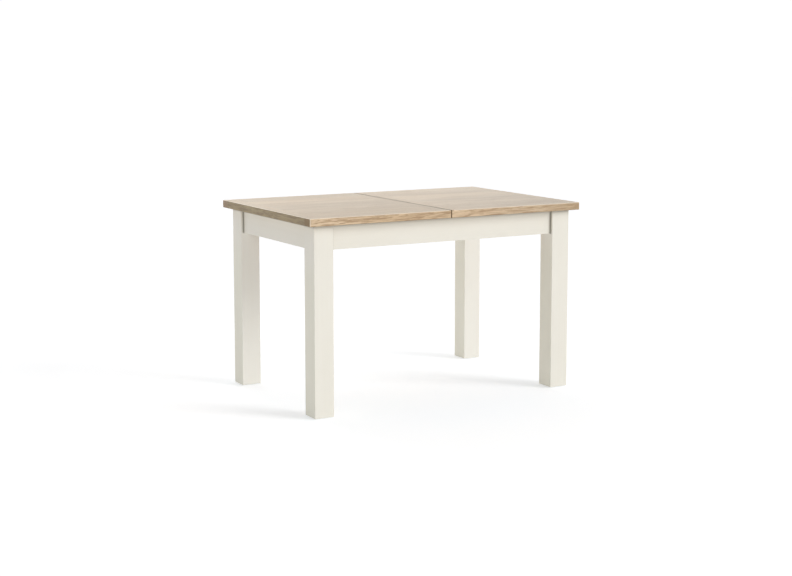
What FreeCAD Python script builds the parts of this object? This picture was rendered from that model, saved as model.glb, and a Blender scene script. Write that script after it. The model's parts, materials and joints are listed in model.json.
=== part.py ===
import FreeCAD, Part
import math
import os
import re
import Sketcher

# Extending dining table, millimetres. The origin is on the floor under the middle of the top, +X runs
# along the table, +Y to its back and +Z up. The top is cut in two at x = 0. Each half slides outwards
# on dovetail runners, one each side of a fixed beam, and a pinion in the beam turns both runners'
# racks the same distance. A folding leaf is stored in the well between the beams.

DRIVING = {
    "table_length": 1200,
    "table_depth": 790,
    "table_height": 750,
    "top_thickness": 30,
    "top_overhang": 30,
    "border_width": 45,
    "split_gap": 1,
    "edge_ease": 2,
    "fine_ease": 0.8,
    "shadow_gap": 2,
    "leg_side": 80,
    "glide_height": 2,
    "glide_radius": 18,
    "apron_tall": 92,
    "apron_thickness": 22,
    "apron_setback": 12,
    "block_thickness": 28,
    "block_bottom": 632,
    "block_tall": 44,
    "bolt_radius": 4,
    "bolt_hole_radius": 4.5,
    "bolt_hole_overrun": 5,
    "bolt_inside": 42,
    "bolt_in_leg": 45,
    "nut_radius": 7.5,
    "nut_thickness": 6.5,
    "washer_radius": 10,
    "washer_thickness": 1.6,
    "thread_clearance": 0.03,
    "crossrail_spacing": 480,
    "crossrail_thickness": 22,
    "crossrail_bottom": 628,
    "crossrail_tall": 50,
    "slide_spacing": 476,
    "beam_thickness": 20,
    "groove_depth": 5,
    "groove_mouth": 8,
    "groove_floor": 12,
    "groove_level": 706,
    "runner_thickness": 18,
    "runner_bottom": 680,
    "runner_gap": 0.5,
    "runner_tail": 250,
    "runner_nose": 300,
    "seat_start": 4,
    "dovetail_clearance": 0.4,
    "travel": 215,
    "stop_radius": 4,
    "stop_drop": 20,
    "stop_margin": 0.5,
    "gear_module": 2,
    "pinion_teeth": 14,
    "pressure_angle": 20,
    "tooth_addendum": 1.5,
    "tooth_backlash": 0.15,
    "tooth_clearance": 0.5,
    "pinion_bottom": 684.5,
    "pinion_thickness": 7,
    "pinion_end_play": 0.2,
    "axle_radius": 2.5,
    "running_clearance": 0.05,
    "window_clearance": 1,
    "tooth_bed": 1,
    "rack_teeth": 40,
    "rack_bottom": 684,
    "rack_tall": 8,
    "rack_back": 20,
    "rack_run_past_travel": 25,
    "rack_heel": 20,
    "leaf_length": 400,
    "leaf_half_depth": 395,
    "leaf_hinge_edge": 200,
    "leaf_upper_level": 674,
    "leaf_fold_gap": 2,
    "barrel_radius": 7,
    "barrel_depth": 12,
    "link_thickness": 3,
    "barrel_spacing": 140,
    "pivot_offset": 100,
    "pivot_level": 712,
    "pivot_radius": 4,
    "rod_bed": 2,
    "bracket_thickness": 3,
    "bracket_width": 30,
    "bracket_bottom": 640,
    "bracket_top": 719,
    "saddle_spacing": 300,
    "saddle_width": 24,
    "saddle_tall": 15,
    "rest_offset": -120,
    "rest_width": 40,
    "rest_screw_rise": 6,
    "rest_pad_radius": 12,
    "rest_pad_thickness": 1,
    "dowel_radius": 4,
    "socket_radius": 4.1,
    "dowel_reach": 10,
    "socket_slack": 3,
    "dowel_bed": 15,
    "top_dowel_inner": 60,
    "top_dowel_outer": 340,
    "leaf_dowel_offset": 140,
    "pad_length": 60,
    "pad_width": 16,
    "pad_thickness": 1.8,
    "pad_offset": 100,
    "catch_offset": 278,
    "catch_reach": 20,
    "catch_plate_length": 28,
    "catch_plate_width": 19,
    "catch_plate_thickness": 3,
    "lever_level": 713,
    "lever_thickness": 3,
    "lever_half_width": 7,
    "lever_shoulder": 1,
    "lever_length": 48.5,
    "stud_radius": 3,
    "stud_head_radius": 4.5,
    "stud_head_bottom": 710.5,
    "stud_head_thickness": 2,
    "pin_bed": 1,
    "slot_clearance": 0.3,
    "slot_sweep": 20,
    "pivot_pin_radius": 2.5,
    "knob_radius": 4,
    "knob_tall": 10,
    "knob_offset": 24,
    "block_screw_length": 28,
    "beam_screw_grip": 16,
    "runner_screw_length": 58,
    "first_runner_screw": 60,
    "runner_screw_spacing": 100,
    "plate_screw_length": 15,
    "plate_screw_offset": 10,
    "screw_radius": 2,
    "screw_head_radius": 4,
    "screw_head_depth": 2.5,
    "screw_head_rise": 0.2,
}

doc = FreeCAD.newDocument("ExtendingTable")
sheet = doc.addObject("Spreadsheet::Sheet", "Size")
for row, (alias, number) in enumerate(DRIVING.items(), start=1):
    sheet.set(f"A{row}", alias)
    sheet.set(f"B{row}", str(number))
    sheet.setAlias(f"B{row}", alias)
doc.recompute()

ALIAS = re.compile(r"\b(" + "|".join(DRIVING) + r")\b")
NODES = []

# Derived sizes, as formulas of the sheet's cells.
UNDERSIDE = "(table_height - top_thickness)"
FRAME_TOP = f"({UNDERSIDE} - shadow_gap)"
LEG_X = "(table_length / 2 - top_overhang - leg_side / 2)"
LEG_Y = "(table_depth / 2 - top_overhang - leg_side / 2)"
LEG_IN_X = f"({LEG_X} - leg_side / 2)"
LEG_IN_Y = f"({LEG_Y} - leg_side / 2)"
APRON_IN_X = f"({LEG_X} + leg_side / 2 - apron_setback - apron_thickness)"
APRON_IN_Y = f"({LEG_Y} + leg_side / 2 - apron_setback - apron_thickness)"
APRON_BOTTOM = f"({FRAME_TOP} - apron_tall)"
CROSSRAIL_IN = "(crossrail_spacing / 2 - crossrail_thickness / 2)"
CROSSRAIL_TOP = "(crossrail_bottom + crossrail_tall)"
SLIDE_Y = "(slide_spacing / 2)"
RUNNER_NEAR = "(beam_thickness / 2 + runner_gap)"
RUNNER_FAR = f"({RUNNER_NEAR} + runner_thickness)"
PITCH_RADIUS = "(gear_module * pinion_teeth / 2)"
RACK_TIP = f"({PITCH_RADIUS} - tooth_addendum)"
RACK_ROOT = f"({PITCH_RADIUS} + gear_module + tooth_clearance)"
RACK_PITCH = "(pi * gear_module)"
RACK_RUN = "(travel + rack_run_past_travel)"
RACK_LENGTH = f"({RACK_RUN} + rack_heel)"
LEAF_TOP = "(leaf_upper_level + top_thickness)"
LEAF_LOWER_LEVEL = "(leaf_upper_level - leaf_fold_gap - top_thickness)"
LEAF_Y = "(leaf_hinge_edge - leaf_half_depth / 2)"
FIELD_HALF_Y = "(table_depth / 2 - border_width)"
PLATE_LEVEL = f"({UNDERSIDE} - catch_plate_thickness)"


def formula(text):
    """The text with each alias written as a cell of the sheet."""
    return ALIAS.sub(r"Size.\1", text)


def value(text):
    """The number that a formula of the sheet's cells gives."""
    return float(sheet.evalExpression(formula(text)))


def bind(thing, **formulas):
    """Sets expressions on properties. Base_x, Base_y and Base_z are the Placement's."""
    for name, text in formulas.items():
        path = name.replace("Base_", "Placement.Base.")
        thing.setExpression(path, formula(text))


def vector(x, y, z):
    return FreeCAD.Vector(x, y, z)


def turned(axis, angle):
    return FreeCAD.Rotation(axis, angle)


X_AXIS = vector(1, 0, 0)
Y_AXIS = vector(0, 1, 0)
Z_AXIS = vector(0, 0, 1)
UPRIGHT = turned(Z_AXIS, 0)
ALONG_X = turned(Y_AXIS, 90)
ALONG_Y = turned(X_AXIS, -90)


def node(thing):
    NODES.append(thing)
    return thing


def new_body(label, x="0", y="0", z="0"):
    body = doc.addObject("PartDesign::Body", label)
    body.Label = label
    bind(body, Base_x=x, Base_y=y, Base_z=z)
    return node(body)


def feature(body, kind, rotation=UPRIGHT, **formulas):
    """A PartDesign primitive in the body, its sizes and base point bound to the sheet."""
    made = body.newObject("PartDesign::" + kind, kind)
    made.Placement = FreeCAD.Placement(vector(0, 0, 0), rotation)
    bind(made, **formulas)
    doc.recompute()
    return made


def edges_on(made, *planes):
    """Names of the edges that lie in every plane, each given as (axis index, formula)."""
    levels = [(axis, value(text)) for axis, text in planes]
    names = []
    for number, edge in enumerate(made.Shape.Edges, start=1):
        if all(abs(end.Point[axis] - level) < 1e-4 for end in edge.Vertexes for axis, level in levels):
            names.append(f"Edge{number}")
    return names


def ease(body, names, radius="edge_ease"):
    sharp = body.Tip
    rounding = body.newObject("PartDesign::Fillet", "Ease")
    rounding.Base = (sharp, names)
    bind(rounding, Radius=radius)
    doc.recompute()
    return rounding


def board(label, length, width, thickness, x, y, z):
    """A board centred on x and y, standing on z. Returns its body and its block."""
    body = new_body(label, x, y, z)
    block = feature(
        body, "AdditiveBox", Length=length, Width=width, Height=thickness,
        Base_x=f"-({length}) / 2", Base_y=f"-({width}) / 2",
    )
    return body, block


def bore(body, radius, depth, x, y, z, rotation=UPRIGHT):
    return feature(
        body, "SubtractiveCylinder", rotation, Radius=radius, Height=depth,
        Base_x=x, Base_y=y, Base_z=z,
    )


def datum(body, role):
    """The body's own origin plane or axis with this role."""
    return [item for item in body.Origin.OriginFeatures if item.Role == role][0]


def empty_sketch(body, name, plane="XY_Plane", start="0"):
    """A sketch on one of the body's origin planes, moved start along the plane's normal."""
    sketch = body.newObject("Sketcher::SketchObject", name)
    sketch.AttachmentSupport = [(datum(body, plane), "")]
    sketch.MapMode = "FlatFace"
    sketch.setExpression("AttachmentOffset.Base.z", formula(start))
    return sketch


def outline(body, plane, points, start="0"):
    """A closed sketch of straight lines through points that are given as pairs of formulas."""
    sketch = empty_sketch(body, "Outline", plane, start)
    corners = [vector(value(u), value(v), 0) for u, v in points]
    count = len(corners)
    for index in range(count):
        sketch.addGeometry(Part.LineSegment(corners[index], corners[(index + 1) % count]), False)
    for index, (u, v) in enumerate(points):
        sketch.addConstraint(Sketcher.Constraint("Coincident", index, 2, (index + 1) % count, 1))
        for kind, text, number in (("X", u, corners[index].x), ("Y", v, corners[index].y)):
            if abs(number) < 1e-9:
                line = -2 if kind == "X" else -1
                sketch.addConstraint(Sketcher.Constraint("PointOnObject", index, 1, line))
                continue
            made = sketch.addConstraint(
                Sketcher.Constraint("Distance" + kind, -1, 1, index, 1, number)
            )
            sketch.setExpression(f"Constraints[{made}]", formula(text))
    doc.recompute()
    return sketch


def pad(body, sketch, length):
    made = body.newObject("PartDesign::Pad", "Pad")
    made.Profile = sketch
    bind(made, Length=length)
    doc.recompute()
    return made


def primitive(kind, rotation=UPRIGHT, **formulas):
    made = doc.addObject("Part::" + kind, kind)
    made.Placement = FreeCAD.Placement(vector(0, 0, 0), rotation)
    bind(made, **formulas)
    return made


def boolean(kind, base, tool):
    made = doc.addObject("Part::" + kind, kind)
    made.Base = base
    made.Tool = tool
    doc.recompute()
    return made


def group(label, *sets):
    """One node of separate solids: each set is a pattern and the spots that its shape is moved to."""
    doc.recompute()
    made = doc.addObject("Part::Feature", label)
    made.Label = label
    copies = []
    for pattern, spots in sets:
        for spot in spots:
            copy = pattern.Shape.copy()
            copy.Placement = spot.multiply(copy.Placement)
            copies.append(copy)
    made.Shape = Part.makeCompound(copies)
    made.Placement = FreeCAD.Placement()
    return node(made)


def place(x, y, z, rotation=UPRIGHT):
    return FreeCAD.Placement(vector(value(x), value(y), value(z)), rotation)


SIDES_X = (("left", -1), ("right", 1))
SIDES_Y = (("front", -1), ("back", 1))
CORNERS = [(f"{row}_{column}", sx, sy) for column, sx in SIDES_X for row, sy in SIDES_Y]


# ---- Painted frame ---------------------------------------------------------------------------------

def leg(name, sx, sy):
    tall = f"({FRAME_TOP} - glide_height)"
    body, block = board(
        f"leg_{name}", "leg_side", "leg_side", tall, f"{sx} * {LEG_X}", f"{sy} * {LEG_Y}", "glide_height"
    )
    uprights = []
    for across in ("leg_side / 2", "-leg_side / 2"):
        for deep in ("leg_side / 2", "-leg_side / 2"):
            uprights += edges_on(block, (0, across), (1, deep))
    ease(body, uprights + edges_on(block, (2, "0")))


def apron(name, length, width, x, y):
    body, block = board(f"apron_{name}", length, width, "apron_tall", x, y, APRON_BOTTOM)
    axis = 1 if width == "apron_thickness" else 0
    faces = ("apron_thickness / 2", "-apron_thickness / 2")
    lower = [edge for face in faces for edge in edges_on(block, (axis, face), (2, "0"))]
    ease(body, lower, "fine_ease")


def corner_block(name, sx, sy):
    """A 45 degree block from apron to apron, its outer face against the leg's inner corner."""
    body = new_body(f"corner_block_{name}", z="block_bottom")
    slant = "(block_thickness * sqrt(2))"
    run_x = f"({LEG_IN_X} - ({APRON_IN_Y} - {LEG_IN_Y}))"
    run_y = f"({LEG_IN_Y} - ({APRON_IN_X} - {LEG_IN_X}))"
    points = [
        (run_x, APRON_IN_Y), (f"{run_x} - {slant}", APRON_IN_Y),
        (APRON_IN_X, f"{run_y} - {slant}"), (APRON_IN_X, run_y),
    ]
    signed = [(f"{sx} * ({u})", f"{sy} * ({v})") for u, v in points]
    pad(body, outline(body, "XY_Plane", signed), "block_tall")
    bearing = math.degrees(math.atan2(sy, sx))
    inward = turned(Z_AXIS, bearing).multiply(ALONG_X)
    reach = "(block_thickness + bolt_hole_overrun) / sqrt(2)"
    bore(
        body, "bolt_hole_radius", "block_thickness + 2 * bolt_hole_overrun",
        f"{sx} * ({LEG_IN_X} - {reach})", f"{sy} * ({LEG_IN_Y} - {reach})", "block_tall / 2", inward,
    )


def corner_spot(sx, sy, inside):
    """A placement on a corner bolt's axis, inside the leg's inner corner, +Z towards the leg."""
    bearing = math.degrees(math.atan2(sy, sx))
    away = f"(({inside}) / sqrt(2))"
    return place(
        f"{sx} * ({LEG_IN_X} - {away})", f"{sy} * ({LEG_IN_Y} - {away})", "block_bottom + block_tall / 2",
        turned(Z_AXIS, bearing).multiply(ALONG_X),
    )


def screw(length):
    """A countersunk screw, its head a little proud of z = 0 and its point up +Z."""
    head = primitive(
        "Cone", Radius1="screw_head_radius", Radius2="screw_radius", Height="screw_head_depth",
        Base_z="-screw_head_rise",
    )
    shank = primitive("Cylinder", Radius="screw_radius", Height=length)
    return boolean("Fuse", head, shank)


def cut_ring(outer, bore_radius, thickness):
    hole = primitive("Cylinder", Radius=bore_radius, Height=thickness)
    return boolean("Cut", outer, hole)


for corner_name, corner_x, corner_y in CORNERS:
    leg(corner_name, corner_x, corner_y)
    corner_block(corner_name, corner_x, corner_y)

for side_name, side in SIDES_Y:
    apron(
        side_name, f"2 * {LEG_IN_X}", "apron_thickness", "0",
        f"{side} * ({APRON_IN_Y} + apron_thickness / 2)",
    )
for side_name, side in SIDES_X:
    apron(
        side_name, "apron_thickness", f"2 * {LEG_IN_Y}",
        f"{side} * ({APRON_IN_X} + apron_thickness / 2)", "0",
    )

foot_glide = primitive("Cylinder", Radius="glide_radius", Height="glide_height")
group(
    "foot_glides",
    (foot_glide, [place(f"{sx} * {LEG_X}", f"{sy} * {LEG_Y}", "0") for _, sx, sy in CORNERS]),
)
corner_bolt = primitive("Cylinder", Radius="bolt_radius", Height="bolt_inside + bolt_in_leg")
group("corner_bolts", (corner_bolt, [corner_spot(sx, sy, "bolt_inside") for _, sx, sy in CORNERS]))
washer_disc = primitive("Cylinder", Radius="washer_radius", Height="washer_thickness")
washer = cut_ring(washer_disc, "bolt_hole_radius", "washer_thickness")
on_block = "block_thickness + washer_thickness"
group("corner_washers", (washer, [corner_spot(sx, sy, on_block) for _, sx, sy in CORNERS]))
hexagon = primitive("Prism", Circumradius="nut_radius", Height="nut_thickness")
hexagon.Polygon = 6
nut = cut_ring(hexagon, "bolt_radius + thread_clearance", "nut_thickness")
on_washer = on_block + " + nut_thickness"
group("corner_nuts", (nut, [corner_spot(sx, sy, on_washer) for _, sx, sy in CORNERS]))


def block_screw_spots():
    """Two screws a block: one into the long apron and one into the end apron."""
    level = "block_bottom + block_tall / 2"
    middle = "block_thickness * sqrt(2) / 2"
    spots = []
    for _, sx, sy in CORNERS:
        long_x = f"{sx} * ({LEG_IN_X} - ({APRON_IN_Y} - {LEG_IN_Y}) - {middle})"
        end_y = f"{sy} * ({LEG_IN_Y} - ({APRON_IN_X} - {LEG_IN_X}) - {middle})"
        to_long = turned(X_AXIS, -90 * sy)
        to_end = turned(Y_AXIS, 90 * sx)
        spots.append(place(long_x, f"{sy} * ({APRON_IN_Y} - block_screw_length / 2)", level, to_long))
        spots.append(place(f"{sx} * ({APRON_IN_X} - block_screw_length / 2)", end_y, level, to_end))
    return spots


group("corner_block_screws", (screw("block_screw_length"), block_screw_spots()))

for side_name, side in SIDES_X:
    board(
        f"cross_rail_{side_name}", "crossrail_thickness", f"2 * {APRON_IN_Y}", "crossrail_tall",
        f"{side} * crossrail_spacing / 2", "0", "crossrail_bottom",
    )

pad_strip = primitive(
    "Box", Length="pad_width", Width="pad_length", Height="pad_thickness",
    Base_x="-pad_width / 2", Base_y="-pad_length / 2",
)
pad_x = f"({APRON_IN_X} + apron_thickness / 2)"
group(
    "apron_glide_pads",
    (pad_strip, [place(f"{sx} * {pad_x}", f"{sy} * pad_offset", FRAME_TOP) for _, sx, sy in CORNERS]),
)


# ---- Slides: fixed beams, runners, racks and pinions ------------------------------------------------

def half_groove(distance, clearance="0"):
    """Half the dovetail's height at a distance from the beam's middle."""
    slope = "(groove_floor - groove_mouth) / 2 / groove_depth"
    return f"(groove_mouth / 2 + (beam_thickness / 2 - {distance}) * {slope} - {clearance})"


def slide_beam(name, side):
    """A beam with a dovetail groove in each face, and a window at x = 0 for the pinion."""
    body = new_body(f"slide_beam_{name}", y=f"{side} * {SLIDE_Y}")
    face = "beam_thickness / 2"
    floor = "(beam_thickness / 2 - groove_depth)"
    right_hand = [
        (face, CROSSRAIL_TOP),
        (face, f"groove_level - {half_groove(face)}"),
        (floor, f"groove_level - {half_groove(floor)}"),
        (floor, f"groove_level + {half_groove(floor)}"),
        (face, f"groove_level + {half_groove(face)}"),
        (face, FRAME_TOP),
    ]
    left_hand = [(f"-1 * {u}", v) for u, v in reversed(right_hand)]
    section = outline(body, "YZ_Plane", right_hand + left_hand, f"-1 * {APRON_IN_X}")
    pad(body, section, f"2 * {APRON_IN_X}")
    window = "(gear_module * (pinion_teeth / 2 + 1) + window_clearance)"
    feature(
        body, "SubtractiveBox", Length=f"2 * {window}", Width="beam_thickness",
        Height="pinion_thickness + 2 * pinion_end_play",
        Base_x=f"-1 * {window}", Base_y="-beam_thickness / 2", Base_z="pinion_bottom - pinion_end_play",
    )
    bore(
        body, "axle_radius + thread_clearance", f"groove_level - groove_floor / 2 - {CROSSRAIL_TOP}",
        "0", "0", CROSSRAIL_TOP,
    )


def runner(name, sx, row, sy, side):
    """A runner on one side of a beam, with its dovetail tongue, its seat and its rack's rebate."""
    body = new_body(f"runner_{name}_{row}", y=f"{sy} * {SLIDE_Y}")
    tip = "(beam_thickness / 2 - groove_depth + runner_gap)"
    section = [
        (RUNNER_NEAR, "runner_bottom"),
        (RUNNER_FAR, "runner_bottom"),
        (RUNNER_FAR, FRAME_TOP),
        (RUNNER_NEAR, FRAME_TOP),
        (RUNNER_NEAR, f"groove_level + {half_groove(RUNNER_NEAR, 'dovetail_clearance')}"),
        (tip, f"groove_level + {half_groove(tip, 'dovetail_clearance')}"),
        (tip, f"groove_level - {half_groove(tip, 'dovetail_clearance')}"),
        (RUNNER_NEAR, f"groove_level - {half_groove(RUNNER_NEAR, 'dovetail_clearance')}"),
    ]
    signed = [(f"{side} * ({u})", v) for u, v in section]
    low_x = "-runner_tail" if sx > 0 else "-runner_nose"
    pad(body, outline(body, "YZ_Plane", signed, low_x), "runner_tail + runner_nose")
    near_y = RUNNER_NEAR if side > 0 else f"-1 * {RUNNER_FAR}"
    feature(
        body, "AdditiveBox", Length="runner_nose - seat_start", Width="runner_thickness",
        Height="shadow_gap", Base_x="seat_start" if sx > 0 else "-runner_nose",
        Base_y=near_y, Base_z=FRAME_TOP,
    )
    rebate = f"(rack_back - {RUNNER_NEAR})"
    feature(
        body, "SubtractiveBox", Length=RACK_LENGTH, Width=rebate, Height="rack_tall",
        Base_x=f"-1 * {RACK_RUN}" if sx > 0 else "-rack_heel",
        Base_y=RUNNER_NEAR if side > 0 else "-rack_back", Base_z="rack_bottom",
    )


def rack():
    """A rack along X with a tooth at x = 0, its teeth towards -Y and its back at y = rack_back."""
    body = doc.addObject("PartDesign::Body", "rack_pattern")
    feature(
        body, "AdditiveBox", Length=RACK_LENGTH, Width=f"rack_back - {RACK_ROOT}",
        Height="rack_tall", Base_x=f"-1 * {RACK_RUN}", Base_y=RACK_ROOT, Base_z="rack_bottom",
    )
    first = f"(2 * {RACK_PITCH})"
    half = f"({RACK_PITCH} / 4 - tooth_backlash / 2)"
    lean = "tan(pressure_angle * 1 deg)"
    root_half = f"({half} + ({RACK_ROOT} - {PITCH_RADIUS}) * {lean})"
    tip_half = f"({half} - tooth_addendum * {lean})"
    tooth = [
        (f"{first} - {tip_half}", RACK_TIP), (f"{first} + {tip_half}", RACK_TIP),
        (f"{first} + {root_half}", RACK_ROOT), (f"{first} + {root_half}", f"{RACK_ROOT} + tooth_bed"),
        (f"{first} - {root_half}", f"{RACK_ROOT} + tooth_bed"), (f"{first} - {root_half}", RACK_ROOT),
    ]
    one_tooth = pad(body, outline(body, "XY_Plane", tooth, "rack_bottom"), "rack_tall")
    row_of_teeth = body.newObject("PartDesign::LinearPattern", "Teeth")
    row_of_teeth.Originals = [one_tooth]
    row_of_teeth.Direction = (datum(body, "X_Axis"), [""])
    row_of_teeth.Reversed = True
    bind(row_of_teeth, Length=f"(rack_teeth - 1) * {RACK_PITCH}", Occurrences="rack_teeth")
    body.Tip = row_of_teeth
    doc.recompute()
    return body


def involute(base, radius):
    """The polar angle of the involute of a base circle, where it reaches a radius."""
    roll = math.sqrt(max(radius * radius / base / base - 1, 0))
    return roll - math.atan(roll)


def pinion(name, sy):
    """A spur pinion with a tooth along +X, which leaves a space at +Y and at -Y for the racks."""
    body = new_body(f"pinion_{name}", y=f"{sy} * {SLIDE_Y}", z="pinion_bottom")
    bed = value(f"{RACK_TIP} - tooth_clearance - tooth_bed")
    pitch = value(PITCH_RADIUS)
    base = pitch * math.cos(math.radians(value("pressure_angle")))
    tip = pitch + value("gear_module")
    feature(body, "AdditiveCylinder", Radius=f"{RACK_TIP} - tooth_clearance", Height="pinion_thickness")
    half = (value(f"{RACK_PITCH} / 4 - tooth_backlash / 2")) / pitch

    def flank(radius, hand):
        angle = hand * (half + involute(base, pitch) - involute(base, max(radius, base)))
        return vector(radius * math.cos(angle), radius * math.sin(angle), 0)

    middle = (base + tip) / 2
    edges = [
        Part.LineSegment(flank(bed, -1), flank(base, -1)),
        Part.Arc(flank(base, -1), flank(middle, -1), flank(tip, -1)),
        Part.Arc(flank(tip, -1), vector(tip, 0, 0), flank(tip, 1)),
        Part.Arc(flank(tip, 1), flank(middle, 1), flank(base, 1)),
        Part.LineSegment(flank(base, 1), flank(bed, 1)),
        Part.LineSegment(flank(bed, 1), flank(bed, -1)),
    ]
    sketch = empty_sketch(body, "Tooth")
    for edge in edges:
        sketch.addGeometry(edge, False)
    doc.recompute()
    one_tooth = pad(body, sketch, "pinion_thickness")
    ring = body.newObject("PartDesign::PolarPattern", "Teeth")
    ring.Originals = [one_tooth]
    ring.Axis = (datum(body, "Z_Axis"), [""])
    ring.Angle = 360
    bind(ring, Occurrences="pinion_teeth")
    body.Tip = ring
    doc.recompute()
    bore(body, "axle_radius + running_clearance", "pinion_thickness", "0", "0", "0")


for row_name, row_side in SIDES_Y:
    slide_beam(row_name, row_side)
    pinion(row_name, row_side)
    runner("right", 1, row_name, row_side, row_side)
    runner("left", -1, row_name, row_side, -row_side)

axle = primitive(
    "Cylinder", Radius="axle_radius", Height=f"groove_level - groove_floor / 2 - {CROSSRAIL_TOP}"
)
group("pinion_axles", (axle, [place("0", f"{sy} * {SLIDE_Y}", CROSSRAIL_TOP) for _, sy in SIDES_Y]))

# The right runners lie outside their beams and the left runners inside. Turning a rack over about X
# carries its teeth to the other side of the pinion, and half a turn about Z also swaps its ends.
rack_pattern = rack()
half_turn = turned(Z_AXIS, 180)
flipped = turned(X_AXIS, 180)
flipped_level = "2 * rack_bottom + rack_tall"
front_slide = f"-1 * {SLIDE_Y}"
group(
    "racks_right",
    (rack_pattern, [place("0", SLIDE_Y, "0"), place("0", front_slide, flipped_level, flipped)]),
)
group(
    "racks_left",
    (rack_pattern, [
        place("0", SLIDE_Y, "0", half_turn),
        place("0", front_slide, flipped_level, half_turn.multiply(flipped)),
    ]),
)

# Screws in the fixed frame: up through the cross rails into the beams, out through the leaf's pivot
# brackets into the cross rails, and in through the cross rails into the ends of the rest bar.
plate_screw = screw("plate_screw_length")
beam_spots = [
    place(f"{sx} * crossrail_spacing / 2", f"{sy} * {SLIDE_Y}", "crossrail_bottom")
    for _, sx, sy in CORNERS
]
outwards = {sx: turned(Y_AXIS, 90 * sx) for _, sx in SIDES_X}
bracket_spots = [
    place(f"{sx} * ({CROSSRAIL_IN} - bracket_thickness)", "pivot_offset",
          f"bracket_bottom + {rise} * plate_screw_offset", outwards[sx])
    for _, sx in SIDES_X for rise in (1, 3)
]
bar_spots = [
    place(f"{sx} * ({CROSSRAIL_IN} + crossrail_thickness)", f"rest_offset + {sy} * plate_screw_offset",
          "crossrail_bottom + rest_screw_rise", outwards[-sx])
    for _, sx, sy in CORNERS
]
group(
    "rail_screws",
    (screw("crossrail_tall + beam_screw_grip"), beam_spots),
    (plate_screw, bracket_spots),
    (screw("crossrail_thickness + beam_screw_grip"), bar_spots),
)

stop_peg = primitive("Cylinder", Radius="stop_radius", Height="stop_drop")
runner_screw = screw("runner_screw_length")
stop_x = f"({CROSSRAIL_IN} - stop_margin - stop_radius - travel)"
middle_of_runner = f"({RUNNER_NEAR} + runner_thickness / 2)"
for half_name, half_side in SIDES_X:
    lines = [f"{sy} * ({SLIDE_Y} + {half_side} * {middle_of_runner})" for _, sy in SIDES_Y]
    pegs = [place(f"{half_side} * {stop_x}", line, "runner_bottom - stop_drop") for line in lines]
    group(f"stop_pegs_{half_name}", (stop_peg, pegs))
    runner_spots = [
        place(f"{half_side} * (first_runner_screw + {step} * runner_screw_spacing)", line, "runner_bottom")
        for line in lines for step in range(3)
    ]
    plate_spots = [
        place(f"{half_side} * catch_reach + {sx} * plate_screw_offset", f"{sy} * catch_offset", PLATE_LEVEL)
        for _, sx, sy in CORNERS
    ]
    group(f"top_screws_{half_name}", (runner_screw, runner_spots), (plate_screw, plate_spots))


# ---- Oak top ----------------------------------------------------------------------------------------

def top_half(name, s):
    """One half of the top: a field of staves in a border whose long rails run through."""
    long_run = "(table_length / 2 - split_gap / 2)"
    middle_x = f"{s} * (table_length / 4 + split_gap / 4)"
    half_run, half_border, high = f"{long_run} / 2", "border_width / 2", "top_thickness"
    outer_x, split_x = f"{s} * {half_run}", f"{-s} * {half_run}"
    for row, sy in SIDES_Y:
        body, block = board(
            f"top_{name}_rail_{row}", long_run, "border_width", "top_thickness",
            middle_x, f"{sy} * (table_depth / 2 - border_width / 2)", UNDERSIDE,
        )
        side_y = f"{sy} * {half_border}"
        chosen = [((1, side_y), (2, high)), ((0, outer_x), (2, high)), ((0, split_x), (2, high)),
                  ((0, outer_x), (1, side_y)), ((0, split_x), (1, side_y)), ((1, side_y), (2, "0")),
                  ((0, outer_x), (2, "0"))]
        ease(body, [edge for planes in chosen for edge in edges_on(block, *planes)])
    body, block = board(
        f"top_{name}_rail_end", "border_width", f"2 * {FIELD_HALF_Y}", "top_thickness",
        f"{s} * (table_length / 2 - border_width / 2)", "0", UNDERSIDE,
    )
    end_x = f"{s} * {half_border}"
    ease(body, edges_on(block, (0, end_x), (2, high)) + edges_on(block, (0, end_x), (2, "0")))
    body, block = board(
        f"top_{name}_rail_split", "border_width", f"2 * {FIELD_HALF_Y}", "top_thickness",
        f"{s} * (split_gap / 2 + border_width / 2)", "0", UNDERSIDE,
    )
    ease(body, edges_on(block, (0, f"{-s} * {half_border}"), (2, high)))
    depth = "dowel_bed" if s > 0 else "dowel_reach + socket_slack"
    start = "-border_width / 2" if s > 0 else f"border_width / 2 - ({depth})"
    for offset in ("top_dowel_inner", "top_dowel_outer"):
        for sy in (-1, 1):
            bore(body, "socket_radius", depth, start, f"{sy} * {offset}", "top_thickness / 2", ALONG_X)
    board(
        f"top_{name}_field", "table_length / 2 - split_gap / 2 - 2 * border_width",
        f"2 * {FIELD_HALF_Y}", "top_thickness", middle_x, "0", UNDERSIDE,
    )


for half_name, half_side in SIDES_X:
    top_half(half_name, half_side)

dowel = primitive("Cylinder", Radius="dowel_radius", Height="dowel_bed + dowel_reach")
top_dowel_spots = [
    place("split_gap / 2 - dowel_reach", f"{sy} * {offset}", f"{UNDERSIDE} + top_thickness / 2", ALONG_X)
    for _, sy in SIDES_Y for offset in ("top_dowel_inner", "top_dowel_outer")
]
group("top_dowels", (dowel, top_dowel_spots))


# ---- Folding leaf, stored in the well ---------------------------------------------------------------

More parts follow.
